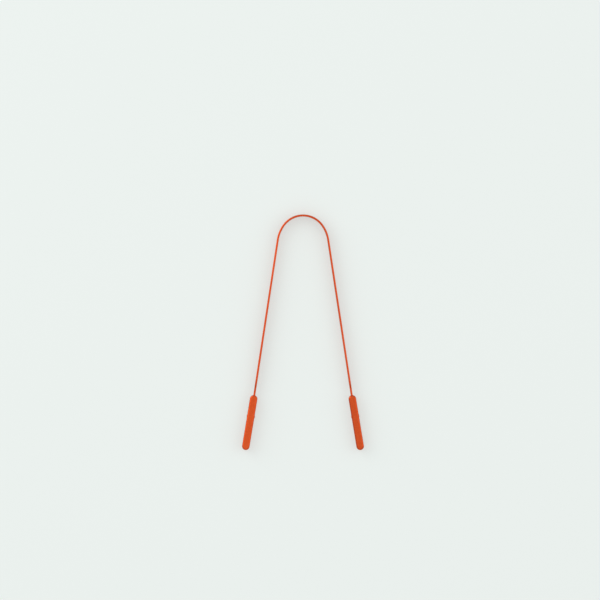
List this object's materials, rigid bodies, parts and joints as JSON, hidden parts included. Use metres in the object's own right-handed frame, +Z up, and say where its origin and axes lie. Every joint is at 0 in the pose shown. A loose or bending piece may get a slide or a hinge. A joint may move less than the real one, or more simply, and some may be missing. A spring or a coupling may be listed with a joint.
{
  "type": "tongue scraper",
  "caption": "U-shaped copper tongue scraper: a springy strip on edge, bent round an arch into two splayed arms, with a pinned bar handle on each end.",
  "frame": {"origin": "under the middle of the bounding box, on the surface that the scraper lies on", "axes": "+X across the arms to the right handle, +Y from the handles to the arch, +Z up along the strip's width"},
  "size_m": [0.0724, 0.14, 0.008],
  "materials": {
    "strip_copper": "satin",
    "handle_copper": "satin",
    "pin_copper": "satin"
  },
  "bodies": {
    "strip": {"scraper_strip": "strip_copper"},
    "left_grip": {"left_handle": "handle_copper", "left_handle_pin": "pin_copper"},
    "right_grip": {"right_handle": "handle_copper", "right_handle_pin": "pin_copper"}
  },
  "joints": [
    {"name": "left_flex", "type": "hinge", "parent": "strip", "child": "left_grip", "pos_m": [0, 0.0553, 0.004], "axis": [0, 0, 1], "range_deg": [-4, 4], "stiffness_Nm_per_rad": 2.65, "deforming": ["scraper_strip"]},
    {"name": "right_flex", "type": "hinge", "parent": "strip", "child": "right_grip", "pos_m": [0, 0.0553, 0.004], "axis": [0, 0, -1], "range_deg": [-4, 4], "stiffness_Nm_per_rad": 2.65, "deforming": ["scraper_strip"]}
  ]
}
